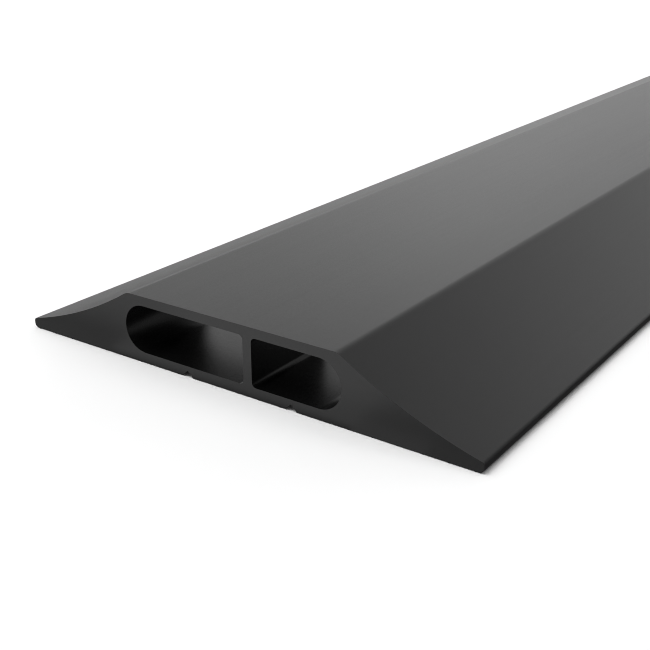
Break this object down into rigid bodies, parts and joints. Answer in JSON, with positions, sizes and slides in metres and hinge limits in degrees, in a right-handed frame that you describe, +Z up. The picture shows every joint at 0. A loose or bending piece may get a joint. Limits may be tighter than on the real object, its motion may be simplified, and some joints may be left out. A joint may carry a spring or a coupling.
{
  "type": "floor cord cover",
  "caption": "Length of soft black extruded floor cord cover: flat top, concave ramp flanks, closed cord channels side by side, ribbed underside with shallow V grooves.",
  "frame": {"origin": "centre of the footprint, on the plane that the underside's rib crests rest on", "axes": "+Z up out of the flat top, +Y along the length, +X across the section towards the narrow channel; -Y is the cut end that the picture shows"},
  "size_m": [0.0864, 1, 0.0115],
  "materials": {
    "soft_pvc_black": "matte black flexible extrusion with a very fine even grain"
  },
  "bodies": {
    "root": {"cord_cover": "soft_pvc_black"}
  },
  "joints": []
}
